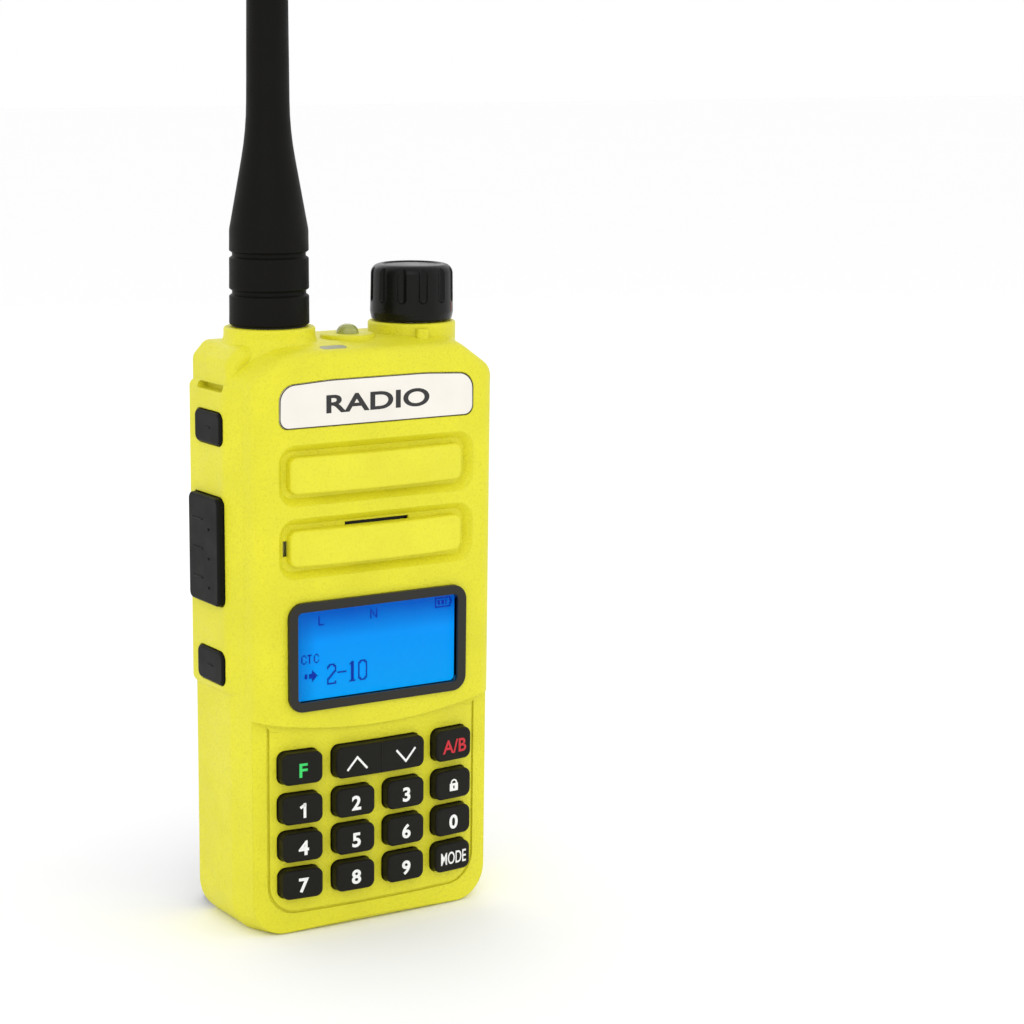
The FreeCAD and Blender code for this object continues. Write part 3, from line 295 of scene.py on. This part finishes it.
SHOWN = {
    "shell_yellow": moulded("shell_yellow", YELLOW, 0.46, 0.52 * MM, 0.200 * MM, 0.35,
                            (0.88, 0.85, 0.10), 0.25 * MM, specular=0.35, pits=0.8),
    "bar_yellow": moulded("bar_yellow", (0.80, 0.757, 0.032), 0.48, 0.50 * MM, 0.140 * MM, 0.3,
                          (0.88, 0.85, 0.12), 0.2 * MM, specular=0.35),
    "key_rubber": moulded("key_rubber", (0.0090, 0.0086, 0.0062), 0.46, 0.16 * MM, 0.004 * MM, 0.7,
                          (0.026, 0.025, 0.022), 0.22 * MM, specular=0.14),
    "side_rubber": moulded("side_rubber", (0.0050, 0.0049, 0.0044), 0.46, 0.22 * MM, 0.008 * MM, 0.6,
                           (0.022, 0.021, 0.019), 0.25 * MM, specular=0.10),
    "seal_rubber": moulded("seal_rubber", (0.016, 0.016, 0.017), 0.6, 0.2 * MM, 0.006 * MM),
    "aerial_rubber": moulded("aerial_rubber", (0.0055, 0.0052, 0.0044), 0.52, 0.34 * MM, 0.030 * MM,
                             0.5, (0.016, 0.015, 0.014), 0.2 * MM, specular=0.08),
    "plate_white": moulded("plate_white", (0.86, 0.825, 0.75), 0.34, 0.6 * MM, 0.004 * MM, 0.1,
                           (0.95, 0.92, 0.90), 0.08 * MM, coat=0.25, pits=0.1),
    "frame_black": moulded("frame_black", (0.021, 0.020, 0.015), 0.36, 0.25 * MM, 0.004 * MM, 0.6,
                           (0.055, 0.052, 0.046), 0.25 * MM, specular=0.25),
    "lens_clear": clear("lens_clear", (0.97, 0.985, 1.0), 0.015, 0.02, 1.0, 1.06),
    "lcd_blue": lit_display("lcd_blue"),
    "light_white": moulded("light_white", (0.82, 0.84, 0.88), 0.55, 0.5 * MM, 0.004 * MM),
    "lamp_clear": clear("lamp_clear", (0.70, 0.74, 0.25), 0.05, 0.05, 0.55, 1.46),
    "pipe_grey": moulded("pipe_grey", (0.26, 0.27, 0.15), 0.3, 0.3 * MM, 0.003 * MM, specular=0.25),
    "knob_black": moulded("knob_black", (0.0055, 0.0055, 0.0050), 0.27, 0.5 * MM, 0.002 * MM, 0.5,
                          (0.018, 0.018, 0.018), 0.2 * MM, specular=0.15),
    "steel": metal("steel", (0.56, 0.56, 0.57), 0.30),
    "plated_brass": metal("plated_brass", (0.78, 0.58, 0.24), 0.24, (1, 1, 6)),
    "chassis_metal": metal("chassis_metal", (0.54, 0.55, 0.56), 0.45, (1, 1, 1), 0.5 * MM),
    "board_green": circuit_board("board_green", (0.012, 0.115, 0.045)),
    "flex_amber": moulded("flex_amber", (0.42, 0.20, 0.035), 0.35, 0.4 * MM, 0.002 * MM, coat=0.3),
    "speaker_black": moulded("speaker_black", (0.014, 0.014, 0.014), 0.6, 0.3 * MM, 0.02 * MM),
    "pack_black": moulded("pack_black", (0.0120, 0.0120, 0.0125), 0.48, 0.45 * MM, 0.028 * MM, 0.6,
                          (0.035, 0.035, 0.035), 0.25 * MM, specular=0.36),
    "cell_wrap": moulded("cell_wrap", (0.03, 0.10, 0.34), 0.28, 1.5 * MM, 0.01 * MM, coat=0.4),
    "clip_black": moulded("clip_black", (0.0120, 0.0120, 0.0120), 0.42, 0.35 * MM, 0.014 * MM, 0.7,
                          (0.040, 0.040, 0.040), 0.3 * MM, specular=0.4),
    "jack_black": moulded("jack_black", (0.020, 0.020, 0.021), 0.45, 0.3 * MM, 0.006 * MM),
}
INK = {
    "white": printed("ink_white", (0.90, 0.90, 0.88)),
    "green": printed("ink_green", (0.03, 0.66, 0.13)),
    "red": printed("ink_red", (0.60, 0.008, 0.02)),
    # Dark ink of the plate's word, also used for the painted shade ring round the plate's edge.
    "dark": printed("dark_ink_and_painted_shade", (0.016, 0.015, 0.015), fade=0.8),
    "rust": printed("ink_rust", (0.10, 0.022, 0.010)),
}
for node_name, slot_name in SLOT_OF.items():
    for material_slot in NODES[node_name].material_slots:
        material_slot.material = SHOWN[slot_name]


# ---------------------------------------------------------------- mesh building blocks

class Surface:
    """The surface of a frame node, for laying thin pieces on it."""

    def __init__(self, node):
        mesh = NODES[node].data
        self.tree = BVHTree.FromPolygons([vertex.co for vertex in mesh.vertices],
                                         [tuple(face.vertices) for face in mesh.polygons])

    def at(self, point, outward):
        """The outermost place of the surface on the line through point along outward."""
        far = point + outward * (0.3 - point.dot(outward))
        return self.tree.ray_cast(far, -outward)[0]


def finished(name, mesh, body, material):
    """A new piece of the radio, riding on a body."""
    piece = bpy.data.objects.new(name, mesh)
    bpy.context.scene.collection.objects.link(piece)
    mesh.materials.clear()
    mesh.materials.append(material)
    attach(piece, body)
    return piece


def drape(mesh, surface, outward, centre=None):
    """Moves each vertex so that its height over the plane through the origin becomes its height
    over the surface. Vertices beside the surface take the height of its place at centre."""
    fallback = surface.at(centre, outward) if centre else None
    for vertex in mesh.vertices:
        height = vertex.co.dot(outward)
        level = surface.at(vertex.co - outward * height, outward) or fallback
        vertex.co += outward * (level.dot(outward) - height) + outward * height
    return mesh


def placed(mesh, right, up, centre):
    """Turns a mesh drawn in XY, with its front along +Z, so that X runs along right and Y
    along up, and moves it to centre."""
    facing = right.cross(up)
    turn = Matrix((right, up, facing)).transposed().to_4x4()
    mesh.transform(Matrix.Translation(centre) @ turn)
    return mesh


def strokes(paths, width):
    """Flat bars of one width along straight runs, as closed thin solids."""
    mesh = bmesh.new()
    for path in paths:
        points = [Vector((x, y, 0)) * MM for x, y in path]
        for start, end in zip(points, points[1:]):
            along = (end - start).normalized() * width / 2
            side = Vector((-along.y, along.x, 0))
            corners = [start - along - side, end + along - side, end + along + side,
                       start - along + side]
            add_slab(mesh, corners, -LEGEND_PROUD, LEGEND_PROUD)
    return closed_mesh(mesh, "strokes")


def add_slab(mesh, corners, low, high):
    """A closed slab over a flat outline, from height low to high."""
    bottom = [mesh.verts.new(corner + Vector((0, 0, low))) for corner in corners]
    top = [mesh.verts.new(corner + Vector((0, 0, high))) for corner in corners]
    mesh.faces.new(list(reversed(bottom)))
    mesh.faces.new(top)
    for index in range(len(corners)):
        after = (index + 1) % len(corners)
        mesh.faces.new((bottom[index], bottom[after], top[after], top[index]))


def closed_mesh(mesh, name):
    bmesh.ops.recalc_face_normals(mesh, faces=mesh.faces)
    data = bpy.data.meshes.new(name)
    mesh.to_mesh(data)
    mesh.free()
    return data


def lettering(text, tall, bold=0.0, narrow=1.0):
    """The mesh of a centred word, tall metres high over its capitals."""
    curve = bpy.data.curves.new("word", "FONT")
    curve.body = text
    curve.align_x = "CENTER"
    curve.align_y = "CENTER"
    curve.offset = bold
    curve.extrude = 0.5
    curve.resolution_u = 6
    holder = bpy.data.objects.new("word", curve)
    mesh = bpy.data.meshes.new_from_object(holder)
    bpy.data.objects.remove(holder)
    lowest = [min(vertex.co[axis] for vertex in mesh.vertices) for axis in range(3)]
    highest = [max(vertex.co[axis] for vertex in mesh.vertices) for axis in range(3)]
    scale = tall / (highest[1] - lowest[1])
    middle = Vector(((lowest[0] + highest[0]) / 2, (lowest[1] + highest[1]) / 2, 0))
    mesh.transform(Matrix.Diagonal((scale * narrow, scale, 2 * LEGEND_PROUD, 1))
                   @ Matrix.Translation(-middle))
    return mesh


# ---------------------------------------------------------------- printed legends and painted plate shade

def key_centre(key):
    low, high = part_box(key)
    return Vector(((low[0] + high[0]) / 2, 0, (low[2] + high[2]) / 2))


def legend(key, mesh, ink, shift=(0, 0), name=None):
    centre = key_centre(key) + Vector((shift[0], 0, shift[1])) * MM
    placed(mesh, RIGHT, UP, centre)
    drape(mesh, Surface(key), FRONT, centre)
    finished((name or key) + "_legend", mesh, key + "_body", INK[ink])


def padlock():
    """A closed padlock: a body with a keyhole gap and a shackle."""
    mesh = bmesh.new()
    half, low, high = 1.0 * MM, -1.25 * MM, 0.3 * MM
    gap = 0.18 * MM
    for side in (-1, 1):
        corners = [Vector((side * x, y, 0))
                   for x, y in ((gap, low), (half, low), (half, high), (gap, high))]
        add_slab(mesh, corners, -LEGEND_PROUD, LEGEND_PROUD)
    for base, top in ((low, low + 0.45 * MM), (high - 0.5 * MM, high)):
        corners = [Vector((x, y, 0)) for x, y in ((-gap, base), (gap, base), (gap, top), (-gap, top))]
        add_slab(mesh, corners, -LEGEND_PROUD, LEGEND_PROUD)
    steps = 14
    for index in range(steps):
        ring = []
        for turn, radius in ((index, 0.78), (index + 1, 0.78), (index + 1, 0.44), (index, 0.44)):
            angle = math.pi * turn / steps
            height = 0.45 + 0.9 * radius * math.sin(angle)
            ring.append(Vector((radius * math.cos(angle), height, 0)) * MM)
        add_slab(mesh, ring, -LEGEND_PROUD, LEGEND_PROUD)
    for side in (-1, 1):
        corners = [Vector((side * x, y, 0)) * MM
                   for x, y in ((0.44, 0.2), (0.78, 0.2), (0.78, 0.47), (0.44, 0.47))]
        add_slab(mesh, corners, -LEGEND_PROUD, LEGEND_PROUD)
    return closed_mesh(mesh, "padlock")


def key_legends():
    for digit in "234567890":
        legend("key_" + digit, lettering(digit, 2.95 * MM, 0.03, 1.06), "white", (0, -0.15))
    one = strokes([((0.25, -1.2), (0.25, 1.2)), ((0.25, 1.15), (-0.45, 0.72))], 0.56 * MM)
    legend("key_1", one, "white", (0, -0.15))
    legend("function_key", lettering("F", 2.8 * MM, 0.02, 1.1), "green", (0, -0.3))
    legend("band_key", lettering("A/B", 2.8 * MM, 0.016, 0.98), "red", (0.1, -0.2))
    legend("mode_key", lettering("MODE", 2.6 * MM, 0.010, 0.62), "white", (0.1, -0.1))
    legend("lock_key", padlock(), "white", (0, 0))
    pitch = 5.5
    chevron = ((-2.05, -1.15), (0, 1.15), (2.05, -1.15))
    upward = strokes([chevron], 0.42 * MM)
    downward = strokes([[(x, -y) for x, y in chevron]], 0.42 * MM)
    legend("scroll_key", upward, "white", (-pitch, -0.3), "scroll_up")
    legend("scroll_key", downward, "white", (pitch, -0.3), "scroll_down")


def name_plate_word_and_painted_shade_line():
    """A thin dark ring of painted shade round the plate's edge, and a plain generic word on it."""
    # The dark ring is painted shade: it stands in for the shadow of the narrow gap round the plate.
    line_wide, line_proud, corner_reach = 0.22, 0.02 * MM, 3 * MM
    plate = NODES["name_plate"].data
    low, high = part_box("name_plate")
    points = [(vertex.co.x, vertex.co.z) for vertex in plate.vertices]
    rim = [Vector(points[index]) for index in convex_hull_2d(points)]
    centre = Vector(((low[0] + high[0]) / 2, (low[2] + high[2]) / 2))
    mesh = bmesh.new()
    count = len(rim)
    for index in range(count):
        here, after = rim[index], rim[(index + 1) % count]
        loop = []
        for point, inset in ((here, 0.0), (after, 0.0), (after, line_wide), (here, line_wide)):
            inward = Vector([math.copysign(1, part) * min(1.0, abs(part) / corner_reach)
                             for part in centre - point])
            spot = point + inward.normalized() * inset * MM
            loop.append(Vector((spot.x, spot.y, 0)))
        if (loop[1] - loop[0]).length > 1e-7:
            add_slab(mesh, loop, -line_proud, line_proud)
    ring = closed_mesh(mesh, "plate_painted_shade_line")
    placed(ring, RIGHT, UP, Vector((0, 0, 0)))
    middle = Vector((centre.x, 0, centre.y))
    drape(ring, Surface("name_plate"), FRONT, middle)
    # The painted shade ring is laid on in the dark ink material.
    finished("plate_painted_shade_line", ring, "radio", INK["dark"])
    word = lettering("RADIO", 3.5 * MM, 0.022, 1.6)
    placed(word, RIGHT, UP, middle + Vector((0, 0, -0.2 * MM)))
    drape(word, Surface("name_plate"), FRONT, middle)
    finished("plate_word", word, "radio", INK["dark"])


# ---------------------------------------------------------------- display characters

SMALL = {
    "L": ("1...", "1...", "1...", "1...", "1...", "1111"),
    "N": ("1...1", "11..1", "1.1.1", "1.1.1", "1..11", "1...1"),
    "C": (".11.", "1..1", "1...", "1...", "1..1", ".11."),
    "T": ("111", ".1.", ".1.", ".1.", ".1.", ".1."),
    "battery": ("111111111111.", "1..........1.", "1.11.11.1..11", "1.11.11.1...1",
                "1.11.11.1..11", "1..........1.", "111111111111."),
    "arrow": (".....1....", ".....11...", "11.11111..", "11.111111.", "11.11111..", ".....11...",
              ".....1...."),
}
LARGE = {
    "2": (".1111.", "11..11", "1....1", ".....1", "....11", "...11.", "..11..", ".11...", "11....",
          "1.....", "1....1", "111111"),
    "-": ("......", "......", "......", "......", "......", "111111", "......", "......", "......",
          "......", "......", "......"),
    "1": ("..11..", ".111..", "..11..", "..11..", "..11..", "..11..", "..11..", "..11..", "..11..",
          "..11..", "..11..", ".1111."),
    "0": (".1111.", "11..11", "1....1", "1....1", "1....1", "1....1", "1....1", "1....1", "1....1",
          "1....1", "11..11", ".1111."),
}


def display_characters():
    """Dark picture elements on the lit panel: status marks, a channel number and a battery."""
    low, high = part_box("lcd_panel")
    lens_low, lens_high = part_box("display_lens")
    view_wide, view_tall = lens_high[0] - lens_low[0], lens_high[2] - lens_low[2]
    middle_x, middle_z = (low[0] + high[0]) / 2, (low[2] + high[2]) / 2
    mesh = bmesh.new()

    def write(glyph, across, down, pitch=PICTURE_ELEMENT):
        """One glyph whose upper left corner is a share of the viewing area across and down."""
        left = middle_x - view_wide / 2 + across * view_wide
        top = middle_z + view_tall / 2 - down * view_tall
        for line, row in enumerate(glyph):
            for column, mark in enumerate(row):
                if mark == "1":
                    x, z = left + column * pitch, top - line * pitch
                    size = 0.98 * pitch
                    corners = [Vector((x, z - size, 0)), Vector((x + size, z - size, 0)),
                               Vector((x + size, z, 0)), Vector((x, z, 0))]
                    add_slab(mesh, corners, -0.01 * MM, 0.012 * MM)

    write(SMALL["L"], 0.145, 0.075, 0.32 * MM)
    write(SMALL["N"], 0.465, 0.070, 0.32 * MM)
    write(SMALL["battery"], 0.875, 0.035, 0.30 * MM)
    for index, letter in enumerate("CTC"):
        write(SMALL[letter], 0.040 + 0.038 * index, 0.490, 0.31 * MM)
    write(SMALL["arrow"], 0.060, 0.670, 0.32 * MM)
    for index, letter in enumerate("2-10"):
        write(LARGE[letter], 0.198 + 0.064 * index, 0.625, 0.34 * MM)
    characters = closed_mesh(mesh, "display_characters")
    front = Vector((0, low[1], 0))
    placed(characters, RIGHT, UP, front)
    ink = Look("display_ink")
    shade = ink.noise(0.4 * MM)
    ink.link(ink.mixed(shade, (0.0, 0.012, 0.16), (0.0, 0.02, 0.24)), ink.shader.inputs["Base Color"])
    ink.link(ink.mixed(shade, (0.0, 0.012, 0.22), (0.0, 0.02, 0.30)),
             ink.shader.inputs["Emission Color"])
    ink.set(Emission_Strength=0.8, Roughness=0.4, Specular_IOR_Level=0.1)
    finished("display_characters", characters, "radio", ink.material)


# ---------------------------------------------------------------- marks on keys and knob

def ridge(mesh, centre, along, across, outward, length, width, height):
    """A rounded ridge: a half round bar with rounded ends, sunk a little into its surface."""
    around, rings = 6, 5
    loops = []
    for end in range(rings + 1):
        turn = math.pi * end / rings
        reach = -math.cos(turn)
        shrink = max(0.25, math.sin(turn)) if end in (0, rings) else 1.0
        offset = along * (reach * length / 2)
        loop = []
        for index in range(around):
            angle = 2 * math.pi * index / around
            spot = (across * (math.cos(angle) * width / 2 * shrink)
                    + outward * (math.sin(angle) * height * shrink))
            loop.append(mesh.verts.new(centre + offset + spot))
        loops.append(loop)
    mesh.faces.new(list(reversed(loops[0])))
    mesh.faces.new(loops[-1])
    for first, second in zip(loops, loops[1:]):
        for index in range(around):
            after = (index + 1) % around
            mesh.faces.new((first[index], first[after], second[after], second[index]))


def side_key_marks():
    """Three short ridges and three dots on the talk key, one small mark on the other two."""
    for key, shares in (("talk_key", (0.24, 0.5, 0.76)), ("monitor_key", (0.5,)), ("call_key", (0.5,))):
        low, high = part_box(key)
        surface = Surface(key)
        mesh = bmesh.new()
        for share in shares:
            z = low[2] + share * (high[2] - low[2])
            deep = high[1] - low[1]
            length = 0.36 * deep if key == "talk_key" else 0.22 * deep
            middle = low[1] + (0.68 if key == "talk_key" else 0.5) * deep
            spot = surface.at(Vector((0, middle, z)), LEFT)
            ridge(mesh, spot, BACK, UP, LEFT, length, 0.36 * MM, 0.17 * MM)
            if key == "talk_key":
                dot = surface.at(Vector((0, low[1] + 0.34 * deep, z - 1.6 * MM)), LEFT)
                ridge(mesh, dot, BACK, UP, LEFT, 0.6 * MM, 0.55 * MM, 0.2 * MM)
        finished(key + "_marks", closed_mesh(mesh, key + "_marks"), key + "_body",
                 SHOWN["side_rubber"])


def scroll_key_line():
    """The thin ridge between the two halves of the scroll key."""
    low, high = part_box("scroll_key")
    surface = Surface("scroll_key")
    mesh = bmesh.new()
    middle = Vector(((low[0] + high[0]) / 2, 0, (low[2] + high[2]) / 2))
    ridge(mesh, surface.at(middle, FRONT), UP, RIGHT, FRONT,
          0.86 * (high[2] - low[2]), 0.3 * MM, 0.1 * MM)
    finished("scroll_key_line", closed_mesh(mesh, "scroll_key_line"), "scroll_key_body",
             SHOWN["key_rubber"])


def knob_mark():
    """The index mark low on the knob, towards its front and right."""
    low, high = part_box("volume_knob")
    axis = Vector(((low[0] + high[0]) / 2, (low[1] + high[1]) / 2, 0))
    turn = math.radians(-50)
    outward = Vector((math.cos(turn), math.sin(turn), 0))
    tree = Surface("volume_knob").tree
    mesh = bmesh.new()
    for share in (0.20, 0.27):
        start = axis + Vector((0, 0, low[2] + share * (high[2] - low[2]))) + outward * 20 * MM
        hit = tree.ray_cast(start, -outward)[0]
        ridge(mesh, hit, UP, outward.cross(UP), outward, 1.1 * MM, 0.7 * MM, 0.08 * MM)
    finished("knob_mark", closed_mesh(mesh, "knob_mark"), "knob", INK["rust"])


# ---------------------------------------------------------------- springs

def wound_wire(name, node, start, along, length, radius, wire, turns):
    """Round wire wound about a line, which stands for a coarser coil of the frame."""
    across = along.orthogonal().normalized()
    other = along.cross(across)
    curve = bpy.data.curves.new(name, "CURVE")
    curve.dimensions = "3D"
    curve.bevel_depth = wire
    curve.bevel_resolution = 3
    curve.use_fill_caps = True
    spline = curve.splines.new("POLY")
    steps = 28 * turns
    spline.points.add(steps)
    for index in range(steps + 1):
        angle = 2 * math.pi * turns * index / steps
        spot = (start + along * (length * index / steps)
                + (across * math.cos(angle) + other * math.sin(angle)) * radius)
        spline.points[index].co = (*spot, 1)
    holder = bpy.data.objects.new(name, curve)
    mesh = bpy.data.meshes.new_from_object(holder)
    bpy.data.objects.remove(holder)
    for face in mesh.polygons:
        face.use_smooth = True
    piece = finished(name, mesh, "radio", SHOWN["steel"])
    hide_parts(node)
    return piece


def springs():
    low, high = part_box("latch_spring")
    wire = 0.28 * MM
    middle = Vector(((low[0] + high[0]) / 2, (low[1] + high[1]) / 2, low[2] + wire))
    length = high[2] - low[2]
    piece = wound_wire("latch_spring_wire", "latch_spring", middle, UP, length - 2 * wire,
                       (high[0] - low[0]) / 2 - wire, wire, 5)
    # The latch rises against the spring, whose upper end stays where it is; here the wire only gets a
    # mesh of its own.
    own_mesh(piece)
    low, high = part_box("clip_spring")
    wire = 0.2 * MM
    middle = Vector((low[0] + wire, (low[1] + high[1]) / 2, (low[2] + high[2]) / 2))
    wound_wire("clip_spring_wire", "clip_spring", middle, RIGHT, high[0] - low[0] - 2 * wire,
               (high[2] - low[2]) / 2 - wire, wire, 7)


# ---------------------------------------------------------------- studio

def floor():
    size = 6.0
    mesh = bmesh.new()
    bmesh.ops.create_grid(mesh, x_segments=1, y_segments=1, size=size)
    data = bpy.data.meshes.new("floor")
    mesh.to_mesh(data)
    mesh.free()
    piece = bpy.data.objects.new("floor", data)
    piece.location = (0, 0, CAD_BOX[0][2])
    bpy.context.scene.collection.objects.link(piece)
    look = Look("studio_floor")
    look.link(look.mixed(look.noise(0.2, 2.0), (0.982, 0.982, 0.982), (0.99, 0.99, 0.99)),
              look.shader.inputs["Base Color"])
    look.set(Roughness=0.9, Specular_IOR_Level=0.1)
    data.materials.append(look.material)


def area_light(name, place, target, wide, tall, power):
    light = bpy.data.lights.new(name, "AREA")
    light.shape = "RECTANGLE"
    light.size = wide
    light.size_y = tall
    light.energy = power
    lamp = bpy.data.objects.new(name, light)
    lamp.location = place
    lamp.rotation_euler = (target - Vector(place)).to_track_quat("-Z", "Y").to_euler()
    bpy.context.scene.collection.objects.link(lamp)


def studio():
    world = bpy.data.worlds.new("studio")
    world.use_nodes = True
    world.node_tree.nodes["Background"].inputs["Color"].default_value = (1.0, 1.0, 1.0, 1.0)
    world.node_tree.nodes["Background"].inputs["Strength"].default_value = 1.0
    bpy.context.scene.world = world
    bpy.context.scene.view_settings.view_transform = "Standard"
    target = Vector((0, 0, 0.08))
    area_light("key_light", (-0.55, -0.75, 0.75), target, 0.7, 0.7, 1.6)
    area_light("fill_light", (0.7, -0.6, 0.35), target, 0.5, 0.9, 0.4)
    area_light("back_light", (0.25, 0.8, 0.6), target, 0.8, 0.5, 1.0)


def camera():
    data = bpy.data.cameras.new("camera")
    data.lens = 88.81
    data.sensor_width = 36.0
    data.shift_x = 0.1582
    data.shift_y = 0.0984
    data.clip_start = 0.01
    viewer = bpy.data.objects.new("camera", data)
    viewer.location = (-0.242475, -0.426459, 0.169756)
    viewer.rotation_euler = Euler((math.radians(77.312), 0, math.radians(-29.959)))
    bpy.context.scene.collection.objects.link(viewer)
    bpy.context.scene.camera = viewer


key_legends()
name_plate_word_and_painted_shade_line()
display_characters()
side_key_marks()
scroll_key_line()
knob_mark()
springs()
floor()
studio()
camera()
